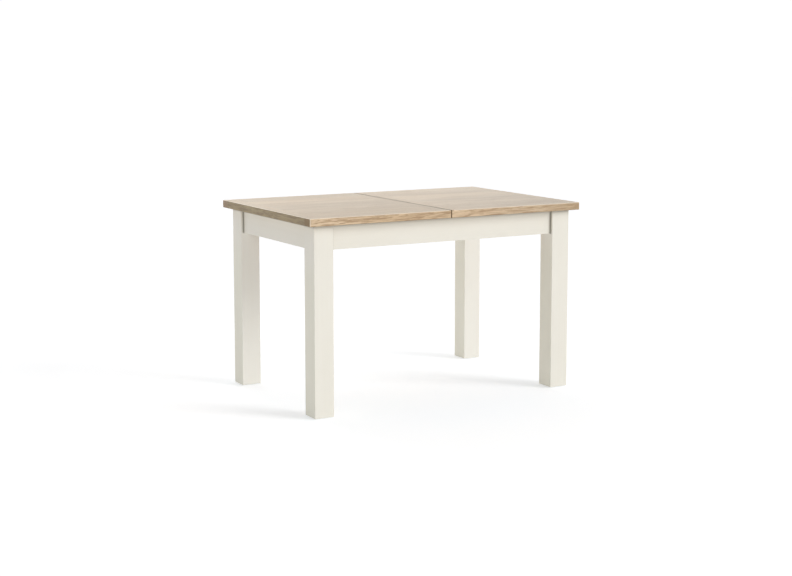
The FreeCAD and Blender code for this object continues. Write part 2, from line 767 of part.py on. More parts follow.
def leaf_half(name, level):
    """One half of the folded leaf. Its hinge edge faces +Y."""
    body, block = board(
        f"leaf_{name}", "leaf_length", "leaf_half_depth", "top_thickness", "0", LEAF_Y, level
    )
    edge_x, edge_y = "leaf_length / 2", "leaf_half_depth / 2"
    good_face = "0" if name == "upper" else "top_thickness"
    chosen = [((0, edge_x), (2, good_face)), ((0, f"-{edge_x}"), (2, good_face)),
              ((1, f"-{edge_y}"), (2, good_face))]
    ease(body, [edge for planes in chosen for edge in edges_on(block, *planes)])
    middle = "top_thickness / 2"
    for x in ("-barrel_spacing", "0", "barrel_spacing"):
        bore(
            body, "barrel_radius + running_clearance", "barrel_depth", x,
            f"{edge_y} - barrel_depth", middle, ALONG_Y,
        )
    for sy in (-1, 1):
        y = f"{sy} * leaf_dowel_offset - {LEAF_Y}"
        bore(body, "socket_radius", "dowel_bed", f"-{edge_x}", y, middle, ALONG_X)
        bore(body, "socket_radius", "dowel_bed", f"{edge_x} - dowel_bed", y, middle, ALONG_X)


def barrel_hinge():
    """A concealed hinge: a barrel in each half's edge, joined by a link outside the edge."""
    rise = "(top_thickness + leaf_fold_gap)"
    barrels = [
        primitive("Cylinder", ALONG_Y, Radius="barrel_radius", Height="barrel_depth",
                  Base_y="-barrel_depth", Base_z=level)
        for level in ("0", rise)
    ]
    link = primitive(
        "Box", Length="2 * barrel_radius", Width="link_thickness", Height=f"{rise} + 2 * barrel_radius",
        Base_x="-barrel_radius", Base_z="-barrel_radius",
    )
    return boolean("Fuse", boolean("Fuse", link, barrels[0]), barrels[1])


leaf_half("upper", "leaf_upper_level")
leaf_half("lower", LEAF_LOWER_LEVEL)
hinge_level = f"{LEAF_LOWER_LEVEL} + top_thickness / 2"
hinge_spots = [
    place(f"{step} * barrel_spacing", "leaf_hinge_edge", hinge_level) for step in (-1, 0, 1)
]
group("leaf_hinges", (barrel_hinge(), hinge_spots))
leaf_dowel_spots = [
    place("-leaf_length / 2 - dowel_reach", f"{sy} * leaf_dowel_offset", f"{level} + top_thickness / 2",
          ALONG_X)
    for _, sy in SIDES_Y for level in ("leaf_upper_level", LEAF_LOWER_LEVEL)
]
group("leaf_dowels", (dowel, leaf_dowel_spots))

rod = node(primitive(
    "Cylinder", ALONG_X, Radius="pivot_radius", Height=f"2 * ({CROSSRAIL_IN} + rod_bed)",
    Base_x=f"-1 * ({CROSSRAIL_IN} + rod_bed)", Base_y="pivot_offset", Base_z="pivot_level",
))
rod.Label = "leaf_pivot_rod"

# Each bracket stands on its cross rail's inner face and carries one end of the pivot rod.
bracket_plate = primitive(
    "Box", Length="bracket_thickness", Width="bracket_width", Height="bracket_top - bracket_bottom",
    Base_y="-bracket_width / 2", Base_z="bracket_bottom - pivot_level",
)
bracket_hole = primitive(
    "Cylinder", ALONG_X, Radius="pivot_radius + running_clearance", Height="bracket_thickness"
)
bracket_starts = (f"{CROSSRAIL_IN} - bracket_thickness", f"-1 * {CROSSRAIL_IN}")
group(
    "leaf_pivot_brackets",
    (boolean("Cut", bracket_plate, bracket_hole),
     [place(start, "pivot_offset", "pivot_level") for start in bracket_starts]),
)

saddle_block = primitive(
    "Box", Length="saddle_width", Width="saddle_width", Height="saddle_tall",
    Base_x="-saddle_width / 2", Base_y="-saddle_width / 2",
)
saddle_hole = primitive(
    "Cylinder", ALONG_X, Radius="pivot_radius + running_clearance", Height="saddle_width",
    Base_x="-saddle_width / 2", Base_z=f"pivot_level - {LEAF_TOP}",
)
saddle_spots = [place(f"{sx} * saddle_spacing / 2", "pivot_offset", LEAF_TOP) for _, sx in SIDES_X]
group("leaf_saddles", (boolean("Cut", saddle_block, saddle_hole), saddle_spots))

rest_top = f"({LEAF_LOWER_LEVEL} - rest_pad_thickness)"
board(
    "leaf_rest_bar", f"2 * {CROSSRAIL_IN}", "rest_width", f"{rest_top} - crossrail_bottom",
    "0", "rest_offset", "crossrail_bottom",
)
rest_pad = primitive("Cylinder", Radius="rest_pad_radius", Height="rest_pad_thickness")
rest_spots = [place(f"{sx} * saddle_spacing / 2", "rest_offset", rest_top) for _, sx in SIDES_X]
group("leaf_rest_pads", (rest_pad, rest_spots))


# ---- Catches that lock the halves together -----------------------------------------------------------

def catch_plate():
    return primitive(
        "Box", Length="catch_plate_length", Width="catch_plate_width", Height="catch_plate_thickness",
        Base_x="-catch_plate_length / 2", Base_y="-catch_plate_width / 2", Base_z=PLATE_LEVEL,
    )


def headed_pin(radius):
    shank = primitive(
        "Cylinder", Radius=radius, Height=f"{PLATE_LEVEL} + pin_bed - stud_head_bottom",
        Base_z="stud_head_bottom",
    )
    head = primitive(
        "Cylinder", Radius="stud_head_radius", Height="stud_head_thickness", Base_z="stud_head_bottom"
    )
    return boolean("Fuse", shank, head)


def catch_lever(name, sy):
    """A lever that lies along Y towards the apron at rest, with a curved slot for the keeper's stud."""
    body = new_body(
        f"catch_lever_{name}", x="-catch_reach", y=f"{sy} * catch_offset", z="lever_level"
    )
    feature(body, "AdditiveCylinder", Radius="lever_half_width + lever_shoulder", Height="lever_thickness")
    feature(
        body, "AdditiveBox", Length="2 * lever_half_width", Width="lever_length",
        Height="lever_thickness", Base_x="-lever_half_width",
        Base_y="0" if sy > 0 else "-lever_length",
    )
    feature(
        body, "AdditiveCylinder", Radius="knob_radius", Height="knob_tall",
        Base_y=f"{sy} * knob_offset", Base_z="-knob_tall",
    )
    radius = "2 * catch_reach"
    half_slot = "(stud_radius + slot_clearance)"
    slot_end = feature(
        body, "SubtractiveCylinder", Radius=half_slot, Height="lever_thickness",
        Base_y=f"{sy} * {radius}",
    )
    # The slot runs from the lever's middle line to the edge that reaches the stud first.
    along_lever = math.radians(90 * sy)
    past_edge = along_lever - math.radians(sy * value("slot_sweep"))
    arcs = [
        Part.ArcOfCircle(
            Part.Circle(vector(0, 0, 0), Z_AXIS, value(f"{radius} + {hand} * {half_slot}")),
            min(along_lever, past_edge), max(along_lever, past_edge),
        )
        for hand in (-1, 1)
    ]
    ends = [
        Part.LineSegment(arcs[0].StartPoint, arcs[1].StartPoint),
        Part.LineSegment(arcs[0].EndPoint, arcs[1].EndPoint),
    ]
    slot = empty_sketch(body, "Slot")
    for edge in arcs + ends:
        slot.addGeometry(edge, False)
    doc.recompute()
    pocket = body.newObject("PartDesign::Pocket", "Pocket")
    pocket.Profile = slot
    pocket.Reversed = True
    bind(pocket, Length="lever_thickness")
    doc.recompute()
    least_cut = value("lever_thickness * stud_radius")
    if slot_end.Shape.Volume - pocket.Shape.Volume < least_cut:
        raise RuntimeError("the catch lever's slot cuts nothing")
    bore(body, "pivot_pin_radius + running_clearance", "lever_thickness", "0", "0", "0")


for row_name, row_side in SIDES_Y:
    catch_lever(row_name, row_side)
for label, pin_radius, half_side in (
    ("catch_plates", "pivot_pin_radius", -1), ("catch_keepers", "stud_radius", 1)
):
    plate_spots = [place(f"{half_side} * catch_reach", f"{sy} * catch_offset", "0") for _, sy in SIDES_Y]
    group(label, (boolean("Fuse", catch_plate(), headed_pin(pin_radius)), plate_spots))


# ---- Checks and files --------------------------------------------------------------------------------

doc.recompute()
for thing in doc.Objects:
    if "Invalid" in thing.State or "Error" in thing.State:
        raise RuntimeError(f"{thing.Name} ({thing.Label}) failed: {thing.State}")
for sub_part in NODES:
    if sub_part.Shape.isNull() or not sub_part.Shape.isValid():
        raise RuntimeError(f"{sub_part.Label} has no valid shape")

os.makedirs("parts", exist_ok=True)
for sub_part in NODES:
    sub_part.Shape.exportStep(f"parts/{sub_part.Label}.step")
    print(sub_part.Label, len(sub_part.Shape.Solids), round(sub_part.Shape.Volume / 1000, 2), "cm3")
print(len(NODES), "nodes")
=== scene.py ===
import json
import math
import bpy
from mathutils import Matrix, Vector


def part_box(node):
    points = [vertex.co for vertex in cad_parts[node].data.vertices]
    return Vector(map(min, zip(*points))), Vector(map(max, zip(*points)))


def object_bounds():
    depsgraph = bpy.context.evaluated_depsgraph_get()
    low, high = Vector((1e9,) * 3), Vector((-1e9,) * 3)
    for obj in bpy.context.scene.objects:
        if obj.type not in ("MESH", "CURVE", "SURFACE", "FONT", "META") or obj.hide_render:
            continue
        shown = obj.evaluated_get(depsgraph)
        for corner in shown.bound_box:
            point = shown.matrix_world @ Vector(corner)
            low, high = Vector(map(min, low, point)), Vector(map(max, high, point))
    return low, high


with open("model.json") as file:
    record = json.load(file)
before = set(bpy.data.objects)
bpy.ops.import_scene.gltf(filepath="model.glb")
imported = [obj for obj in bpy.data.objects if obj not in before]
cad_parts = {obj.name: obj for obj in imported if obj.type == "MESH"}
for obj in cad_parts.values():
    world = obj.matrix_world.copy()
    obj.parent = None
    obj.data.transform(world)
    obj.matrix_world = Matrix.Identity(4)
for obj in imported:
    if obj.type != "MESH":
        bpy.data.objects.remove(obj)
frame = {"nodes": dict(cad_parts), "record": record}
cad_low, cad_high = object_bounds()
NODES = frame["nodes"]
SLOTS = {entry["node"]: entry["material_slot"] for entry in frame["record"]["subparts"]}


# ---- Shader building ---------------------------------------------------------------------------------

# Where a Mix node keeps its factor, its two colours and its resulting colour.
MIX_INPUTS = (0, 6, 7)
MIX_OUTPUT = 2


class Net:
    """A node tree with short calls for the nodes that the materials share."""

    def __init__(self, tree):
        self.tree = tree
        tree.nodes.clear()

    def add(self, kind, inputs=None, **settings):
        made = self.tree.nodes.new(kind)
        for name, setting in settings.items():
            setattr(made, name, setting)
        for name, given in (inputs or {}).items():
            self.feed(made.inputs[name], given)
        return made

    def feed(self, socket, given):
        if isinstance(given, bpy.types.NodeSocket):
            self.tree.links.new(given, socket)
        else:
            socket.default_value = given

    def math(self, operation, *values):
        made = self.add("ShaderNodeMath", operation=operation)
        for socket, given in zip(made.inputs, values):
            self.feed(socket, given)
        return made.outputs[0]

    def times(self, a, b):
        return self.math("MULTIPLY", a, b)

    def plus(self, a, b):
        return self.math("ADD", a, b)

    def scaled(self, a, factor, offset):
        return self.math("MULTIPLY_ADD", a, factor, offset)

    def size(self, a):
        return self.math("ABSOLUTE", a)

    def distance(self, x, y, to_x, to_y):
        """How far apart two points of a plane are."""
        squares = [self.math("POWER", self.math("SUBTRACT", a, b), 2.0) for a, b in ((x, to_x), (y, to_y))]
        return self.math("SQRT", self.plus(*squares))

    def vector(self, x, y, z):
        return self.add("ShaderNodeCombineXYZ", {"X": x, "Y": y, "Z": z}).outputs[0]

    def grey(self, value):
        return self.vector(value, value, value)

    def split(self, vector):
        return self.add("ShaderNodeSeparateXYZ", {"Vector": vector}).outputs[:3]

    def place(self):
        """Where a point is. For a CAD node that is in the frame's metres, with the joints at rest."""
        return self.add("ShaderNodeTexCoord").outputs["Object"]

    def along(self, grain):
        """The three parts of the place, turned so that the first runs along the grain."""
        x, y, z = self.split(self.place())
        return {"X": (x, y, z), "Y": (y, x, z), "Z": (z, x, y)}[grain]

    def normal(self):
        """The three parts of the surface's direction."""
        return self.split(self.add("ShaderNodeTexCoord").outputs["Normal"])

    def noise(self, vector, scale=1.0, detail=2.0, roughness=0.5, distortion=0.0):
        inputs = {"Vector": vector, "Scale": scale, "Detail": detail, "Roughness": roughness,
                  "Distortion": distortion}
        return self.add("ShaderNodeTexNoise", inputs).outputs["Fac"]

    def stretched(self, place, along_grain, across_grain, detail=2.0, roughness=0.5, distortion=0.0):
        """Noise drawn out along the grain. Its first two numbers are waves to the metre."""
        run, across, deep = place
        point = self.vector(self.times(run, along_grain), self.times(across, across_grain),
                            self.times(deep, across_grain))
        return self.noise(point, 1.0, detail, roughness, distortion)

    def swing(self, noise, reach):
        """Noise made to run from -reach to reach instead of from 0 to 1."""
        return self.scaled(noise, 2.0 * reach, -reach)

    def random(self, number):
        """Three random numbers for each whole number."""
        made = self.add("ShaderNodeTexWhiteNoise", {"W": number}, noise_dimensions="1D")
        return self.split(made.outputs["Color"])

    def smooth(self, value, low, high, bottom=0.0, top=1.0):
        """A smooth climb from bottom to top as the value goes from low to high, either of them larger."""
        inputs = {"Value": value, "From Min": low, "From Max": high, "To Min": bottom, "To Max": top}
        return self.add("ShaderNodeMapRange", inputs, interpolation_type="SMOOTHSTEP").outputs[0]

    def mix(self, share, a, b, blend="MIX"):
        made = self.add("ShaderNodeMix", data_type="RGBA", blend_type=blend)
        for index, given in zip(MIX_INPUTS, (share, a, b)):
            self.feed(made.inputs[index], given)
        return made.outputs[MIX_OUTPUT]

    def tinted(self, share, colour, tint):
        """The colour, multiplied by the tint where share is 1."""
        return self.mix(share, colour, tint, "MULTIPLY")

    def bump(self, height, strength, distance):
        inputs = {"Height": height, "Strength": strength, "Distance": distance}
        return self.add("ShaderNodeBump", inputs).outputs[0]


def material(name, build, **settings):
    """A material whose shader's sockets take what build returns: constants or node outputs."""
    made = bpy.data.materials.new(name)
    made.use_nodes = True
    net = Net(made.node_tree)
    shader = net.add("ShaderNodeBsdfPrincipled", settings)
    output = net.add("ShaderNodeOutputMaterial")
    made.node_tree.links.new(shader.outputs[0], output.inputs["Surface"])
    for socket_name, given in build(net).items():
        net.feed(shader.inputs[socket_name], given)
    return made


def rgb(red, green, blue):
    return (red, green, blue, 1.0)


# ---- Wood --------------------------------------------------------------------------------------------

OAK = {
    "light": rgb(0.615, 0.480, 0.314),
    "warm": rgb(0.530, 0.390, 0.234),
    "dark": rgb(0.320, 0.208, 0.111),
    "pore": rgb(0.180, 0.113, 0.062),
}
BEECH = {
    "light": rgb(0.560, 0.390, 0.240),
    "warm": rgb(0.490, 0.320, 0.190),
    "dark": rgb(0.400, 0.250, 0.140),
    "pore": rgb(0.300, 0.180, 0.100),
}
PINE = {
    "light": rgb(0.640, 0.470, 0.270),
    "warm": rgb(0.600, 0.410, 0.220),
    "dark": rgb(0.460, 0.270, 0.120),
    "pore": rgb(0.420, 0.250, 0.120),
}

# The deeper a stave's pith lies, the more the stave takes this tint.
COOLER = rgb(0.985, 1.0, 1.04)

# End grain drinks more stain, so it is darker.
END_TINT = rgb(0.520, 0.460, 0.380)

# The oak's rounded edges: a pale painted highlight, painted shade for the lower edges and painted shade for
# the edges at the split.
HIGHLIGHT_OAK = rgb(0.940, 0.840, 0.690)
LOWER_EDGE_SHADE = rgb(0.46, 0.42, 0.37)
SPLIT_GROOVE_SHADE = rgb(0.23, 0.195, 0.155)

# Distances from the middle of the split. Painted shade darkens the edges nearest to it, and the painted
# highlight shows only further out.
SPLIT_SHADE_WITHIN = (0.0024, 0.0038)
HIGHLIGHT_BEYOND = (0.008, 0.014)

# Two waves that make the staves uneven in width: radians to the metre, and how far each moves a joint.
STAVE_WAVES = ((61.0, 0.011), (127.0, 0.006))

# A stave's wood comes from anywhere along a log of this length.
LOG_LENGTH = 7.0

# A stave's pith lies under it, or beside it by up to this share of its width, and between these depths
# under the table's upper face.
PITH_BESIDE = 0.3
SHALLOWEST_PITH = 0.015
DEEPEST_PITH = 0.105

# How far the rings wander from round, slowly along the log and in ripples.
SLOW_WANDER = 0.035
RIPPLE = 0.007

# How much the early wood, the fibres and the pores darken the wood.
EARLY_SHADE = 0.40
FIBRE_SHADE = 0.16
PORE_SHADE = 0.45

# The painted sheen makes the top palest along a line this far behind its middle; this far from the line the
# tone is unchanged, and further out painted shade darkens it.
PALEST_LINE = 0.06
OWN_TONE = 0.258


def seed_of(name, seeds=97, seeds_to_one=7.0):
    """A small number that is always the same for one name."""
    total = sum(ord(letter) * weight for weight, letter in enumerate(name, start=3))
    return total % seeds / seeds_to_one


def growth(net, place, stave, ring, seed):
    """How the wood has grown at a place.

    It gives the place in the stave's own stretch of the log, how much of the wood there is early wood,
    which begins each year's ring, and two random numbers of the stave: its tone and its pith's depth.
    """
    run, across, deep = place
    sway = net.plus(*(
        net.times(net.math("SINE", net.scaled(across, wave, turns * seed)), reach)
        for turns, (wave, reach) in enumerate(STAVE_WAVES, start=1)))
    board = net.math("FLOOR", net.math("DIVIDE", net.plus(across, sway), stave))
    # The seed gives each node random numbers of its own.
    tone, shift, depth = net.random(net.plus(board, 17.3 * seed))
    place = (net.plus(run, net.scaled(shift, LOG_LENGTH, seed)), across, deep)

    aside = net.scaled(tone, 1.0 + 2.0 * PITH_BESIDE, -PITH_BESIDE)
    pith_across = net.times(net.plus(board, aside), stave)
    pith_deep = net.scaled(depth, SHALLOWEST_PITH - DEEPEST_PITH, cad_high[2] - SHALLOWEST_PITH)
    wander = net.plus(net.swing(net.stretched(place, 1.3, 4.0), SLOW_WANDER),
                      net.swing(net.stretched(place, 7.0, 34.0, detail=3.0, roughness=0.55), RIPPLE))
    radius = net.plus(net.distance(across, deep, pith_across, pith_deep), wander)
    years = net.math("DIVIDE", radius, ring)
    # Good and bad years make the rings uneven.
    weather = net.noise(net.grey(net.times(years, 0.23)), detail=1.0)
    years = net.plus(years, net.times(weather, 1.6))
    early = net.smooth(net.math("SUBTRACT", 1.0, net.math("FRACT", years)), 0.30, 0.98)
    return place, early, tone, depth


def faded(net, colour, middle, slope, twist, painted_sheen):
    """A slow change of tone over one half of the top, whose middle along X is given.

    In a metre along X the half gets darker by slope + twist * y, which is the oak's own tone, and
    painted_sheen says how much darker it gets away from its palest line: painted shade that stands in
    for the sheen of the top.
    """
    x, y, _ = net.along("X")
    fall = net.scaled(y, -twist, -slope)
    level = net.scaled(net.math("SUBTRACT", x, middle), fall, 1.0)
    # Painted shade for the sheen: darker away from the palest line.
    off_line = net.math("POWER", net.math("SUBTRACT", y, PALEST_LINE), 2.0)
    level = net.times(level, net.scaled(off_line, -painted_sheen, 1.0 + painted_sheen * OWN_TONE ** 2))
    warmer_when_dark = net.vector(level, net.scaled(level, 1.1, -0.1), net.scaled(level, 1.35, -0.35))
    return net.tinted(1.0, colour, warmer_when_dark)


def edge_light_and_shade(net, colour, normal, steep, highlight_strength):
    """Painted light on the rounded edges: a pale painted highlight on the upper edges that face the front
    and the left, painted shade on the edges that face down, and painted shade where the halves of the top
    meet.

    It gives the colour, and how much of it is under the painted shade at the split.
    """
    from_split = net.size(net.along("X")[0])
    flat = net.math("MAXIMUM", net.math("MAXIMUM", steep[0], steep[1]), steep[2])
    rounded = net.smooth(flat, 0.995, 0.95)
    # Painted highlight: the upper rounded edges that face the front and the left are made pale.
    highlight_facing = net.times(net.smooth(net.plus(normal[0], normal[1]), 0.1, -0.3),
                       net.smooth(normal[2], -0.25, 0.0, top=highlight_strength))
    painted_highlight = net.times(net.times(rounded, highlight_facing), net.smooth(from_split, *HIGHLIGHT_BEYOND))
    colour = net.mix(painted_highlight, colour, HIGHLIGHT_OAK)
    # Painted shade: the rounded edges that face down are darkened.
    shaded_below = net.times(rounded, net.smooth(normal[2], -0.15, -0.45))
    colour = net.tinted(shaded_below, colour, LOWER_EDGE_SHADE)
    # Painted shade on the rounded edges at the split, where the groove between the halves lies in shade,
    # but not on the upright faces.
    split_shade = net.times(net.smooth(from_split, *reversed(SPLIT_SHADE_WITHIN)), net.smooth(steep[1], 0.99, 0.93))
    split_shade = net.times(split_shade, net.smooth(steep[0], 0.995, 0.96))
    return net.tinted(split_shade, colour, SPLIT_GROOVE_SHADE), split_shade


def wood(name, palette, grain, stave, ring, figure, pores, edge=None, end_tint=END_TINT, fade=None,
         highlight_strength=0.0, roughness=0.36, coat=0.12):
    """Sawn wood: growth rings about a pith that each stave has to itself, with streaks, fibre and pores.

    stave is a stave's width and ring a year's growth, and figure and pores say how strongly the rings and
    the pores show. edge is an axis, a tint and a strength of streaks for the faces across that axis,
    end_tint the tint of the end grain, fade what faded() takes, and highlight_strength how much paler the
    painted highlight makes the rounded edges; when it is set, the edges that face down and the edges at the
    split also get painted shade, and the sheen at the split is dulled.
    """

    def build(net):
        place, early, tone, depth = growth(net, net.along(grain), stave, ring, seed_of(name))
        streak = net.stretched(place, 2.2, 48.0, detail=3.0, roughness=0.6)
        cloud = net.stretched(place, 2.6, 15.0, distortion=0.3)
        fibre = net.stretched(place, 22.0, 620.0, detail=3.0, roughness=0.6)
        dash = net.stretched(place, 90.0, 1500.0, detail=1.0)
        # Most of the pores are in the early wood.
        pore = net.times(net.smooth(dash, 0.56, 0.68), net.scaled(early, 0.75, 0.25))
        warmth = net.plus(net.smooth(streak, 0.34, 0.66, top=0.50), net.smooth(cloud, 0.36, 0.64, top=0.60))
        colour = net.mix(warmth, palette["light"], palette["warm"])
        colour = net.mix(net.times(early, EARLY_SHADE * figure), colour, palette["dark"])
        colour = net.mix(net.smooth(fibre, 0.38, 0.72, top=FIBRE_SHADE), colour, palette["dark"])
        colour = net.mix(net.times(pore, PORE_SHADE * pores), colour, palette["pore"])
        colour = net.tinted(1.0, colour, net.grey(net.scaled(tone, 0.12, 0.94)))
        colour = net.tinted(depth, colour, COOLER)
        if fade:
            colour = faded(net, colour, *fade)

        normal = net.normal()
        # How squarely the surface lies across each axis.
        steep = [net.size(part) for part in normal]

        def faces(axis):
            """1 on the faces across an axis, and 0 on the flat faces along it."""
            return net.smooth(steep["XYZ".index(axis)], 0.55, 0.85)

        end = faces(grain)
        colour = net.tinted(end, colour, end_tint)
        if edge:
            axis, tint, streaks = edge
            torn = net.stretched(place, 14.0, 150.0, detail=3.0, roughness=0.6, distortion=0.5)
            cut = net.smooth(torn, 0.46, 0.62, top=streaks)
            marked = net.tinted(1.0, net.mix(cut, colour, palette["dark"]), tint)
            colour = net.mix(faces(axis), colour, marked)
        gloss = {}
        # Painted highlight and painted shade on the rounded edges.
        if highlight_strength:
            colour, split_shade = edge_light_and_shade(net, colour, normal, steep, highlight_strength)
            # Under the painted shade at the split the sheen is dulled as well, so that the groove reads
            # dark.
            sheen = net.math("SUBTRACT", 1.0, split_shade)
            gloss = {"Specular IOR Level": net.times(sheen, 0.5), "Coat Weight": net.times(sheen, coat)}
        height = net.plus(net.times(fibre, 0.35), net.times(pore, -0.9))
        rough = net.plus(net.plus(net.scaled(fibre, 0.10, roughness - 0.05), net.times(pore, 0.18)),
                         net.times(end, 0.12))
        return {"Base Color": colour, "Roughness": rough,
                "Normal": net.bump(height, 0.25, distance=0.0004), **gloss}

    return material(name, build, **{"Coat Weight": coat, "Coat Roughness": 0.32, "IOR": 1.48})


# ---- Paint, metal, plastic and felt ------------------------------------------------------------------

PAINT_FRESH = rgb(0.800, 0.770, 0.690)
PAINT_AGED = rgb(0.772, 0.738, 0.652)
# Painted light: a paler, cooler tint for the legs' faces towards the table's middle.
PAINTED_COOL_LIGHT = rgb(1.035, 1.045, 1.070)
# Painted shade for the faces towards the table's ends, below the aprons.
PAINTED_SIDE_SHADE = rgb(0.970, 0.976, 0.943)
# Painted shade for the creases at the legs and under the top.
PAINTED_CREASE_SHADE = rgb(0.48, 0.47, 0.44)

# A front apron runs between the legs along X and an end apron along Y, so that their boxes also say
# where the legs begin. Seen from above, these are the corners where aprons' outer faces meet legs.
front_low, front_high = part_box("apron_front")
end_low, end_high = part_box("apron_right")
APRON_CORNERS = ((front_high[0], front_low[1]), (end_high[0], end_low[1]))
LEG_INSIDE = end_high[1]
APRON_BOTTOM = front_low[2]
APRON_TOP = front_high[2]


def paint(name, grain):
    """Satin ivory paint, brushed along the wood, with the grain just showing through."""

    def build(net):
        place = net.along(grain)
        x, y, z = net.along("X")
        normal_x, normal_y, _ = net.normal()
        brush = net.stretched(place, 3.0, 420.0, detail=3.0, roughness=0.6)
        grain_lines = net.stretched(place, 2.2, 90.0, detail=4.0, roughness=0.6)
        orange_peel = net.noise(net.vector(*place), scale=260.0)
        patch = net.noise(net.vector(*place), scale=5.0, detail=3.0, roughness=0.6)
        age = net.plus(net.smooth(grain_lines, 0.35, 0.75, top=0.35), net.smooth(patch, 0.3, 0.7, top=0.35))
        colour = net.mix(age, PAINT_FRESH, PAINT_AGED)
        # Painted light: the legs' faces towards the table's middle are tinted paler and cooler, to offset
        # the warm light that bounces onto them from the table.
        inward = net.smooth(net.times(normal_y, net.math("SIGN", y)), -0.6, -0.9)
        on_leg = net.smooth(net.size(y), LEG_INSIDE - 0.085, LEG_INSIDE - 0.005)
        colour = net.tinted(net.times(inward, on_leg), colour, PAINTED_COOL_LIGHT)
        # Painted shade: below the aprons, the faces towards the table's ends are made a little darker and
        # yellower.
        sideways = net.smooth(net.size(normal_x), 0.6, 0.9)
        low_down = net.smooth(z, APRON_BOTTOM - 0.006, APRON_BOTTOM - 0.106)
        colour = net.tinted(net.times(sideways, low_down), colour, PAINTED_SIDE_SHADE)
        # Painted shade in the corner where an apron meets a leg, and close under the top.
        near = net.math("MINIMUM", *(
            net.distance(net.size(x), net.size(y), abs(corner_x), abs(corner_y))
            for corner_x, corner_y in APRON_CORNERS))
        in_corner = net.times(net.smooth(near, 0.009, 0.001),
                              net.smooth(z, APRON_BOTTOM - 0.005, APRON_BOTTOM + 0.001))
        under_top = net.smooth(z, APRON_TOP - 0.014, APRON_TOP - 0.002, top=0.65)
        colour = net.tinted(net.math("MAXIMUM", in_corner, under_top), colour, PAINTED_CREASE_SHADE)
        height = net.plus(net.plus(net.times(brush, 0.5), net.times(grain_lines, 0.8)),
                          net.times(orange_peel, 0.35))
        rough = net.plus(net.scaled(brush, 0.10, 0.36), net.times(patch, 0.10))
        return {"Base Color": colour, "Roughness": rough, "Normal": net.bump(height, 0.22, distance=0.0005)}

    return material(name, build, IOR=1.48)


def metal(name, light, dark, roughness=0.3):
    """Drawn or rolled metal with fine lines along X and duller patches."""

    def build(net):
        lines = net.stretched(net.along("X"), 40.0, 2600.0)
        patch = net.noise(net.place(), scale=90.0, detail=4.0, roughness=0.65)
        colour = net.mix(net.smooth(patch, 0.35, 0.7), light, dark)
        rough = net.plus(net.scaled(lines, 0.14, roughness - 0.07), net.scaled(patch, 0.16, -0.04))
        return {"Base Color": colour, "Roughness": rough, "Normal": net.bump(lines, 0.2, distance=0.0001)}

    return material(name, build, Metallic=1.0)


def plastic(name, light, dark, roughness):
    """Moulded plastic: a fine spark-eroded skin and faint flow marks."""

    def build(net):
        skin = net.noise(net.place(), scale=1800.0)
        flow = net.noise(net.place(), scale=45.0, detail=3.0, distortion=1.5)
        colour = net.mix(net.smooth(flow, 0.35, 0.7), light, dark)
        return {"Base Color": colour, "Roughness": net.scaled(skin, 0.12, roughness - 0.06),
                "Normal": net.bump(skin, 0.3, distance=0.0001)}

    return material(name, build, IOR=1.5)


def felt(name, dark, light):
    """Pressed felt: a tangle of short fibres over soft lumps."""

    def build(net):
        fibres = net.noise(net.place(), scale=1400.0, detail=4.0, roughness=0.7, distortion=2.5)
        lumps = net.noise(net.place(), scale=220.0)
        return {"Base Color": net.mix(fibres, dark, light), "Roughness": net.scaled(fibres, 0.1, 0.88),
                "Normal": net.bump(net.plus(fibres, lumps), 0.6, distance=0.0006)}

    return material(name, build, **{"Sheen Weight": 0.35, "Sheen Roughness": 0.5})


IVORY = {grain: paint(f"ivory_paint_{grain.lower()}", grain) for grain in "XYZ"}
ZINC = metal("zinc_plated_steel", rgb(0.66, 0.67, 0.68), rgb(0.44, 0.45, 0.47))
BRASS = metal("brushed_brass", rgb(0.76, 0.57, 0.27), rgb(0.52, 0.36, 0.15), roughness=0.34)
NYLON = plastic("white_nylon", rgb(0.74, 0.72, 0.66), rgb(0.66, 0.63, 0.56), roughness=0.42)
GLIDE = plastic("glide_plastic", rgb(0.20, 0.18, 0.16), rgb(0.13, 0.115, 0.10), roughness=0.5)
FELT = felt("pressed_felt", rgb(0.045, 0.038, 0.032), rgb(0.130, 0.112, 0.095))


# ---- Materials of the nodes --------------------------------------------------------------------------

# The upright faces of the top's border: the long sides, the short ends and the faces in the split.
LONG_EDGE = ("Y", rgb(1.110, 1.095, 1.120), 0.85)
SHORT_EDGE = ("X", rgb(0.540, 0.520, 0.375), 0.75)
SPLIT_EDGE = ("X", rgb(0.800, 0.760, 0.680), 0.35)

# The end grain of the long rails, which shows at the ends of the table.
FRONT_END = rgb(0.410, 0.345, 0.215)
BACK_END = rgb(0.600, 0.535, 0.480)

# How each half's tone changes: slope and twist, as faded() takes them.
FADES = {"top_right": (0.33, -0.75), "top_left": (0.12, 0.0)}
# How strongly painted shade, standing in for the sheen, darkens the top away from its palest line.
FIELD_PAINTED_SHEEN = 0.6

# Widths of staves. The rails, beams and blocks are narrower than theirs.
TOP_STAVES = 0.085
WIDE_RAIL = 0.30
WIDE_BOARD = 0.50


def half_fade(name, painted_sheen=FIELD_PAINTED_SHEEN):
    """Each half of the top is a little paler at its left end, the right half mostly towards the front, and
    unless painted_sheen is 0, painted shade for the sheen darkens it towards its front and back.
    """
    half = "top_right" if name.startswith("top_right") else "top_left"
    low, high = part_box(f"{half}_field")
    slope, twist = FADES[half]
    return ((low[0] + high[0]) / 2, slope, twist, painted_sheen)


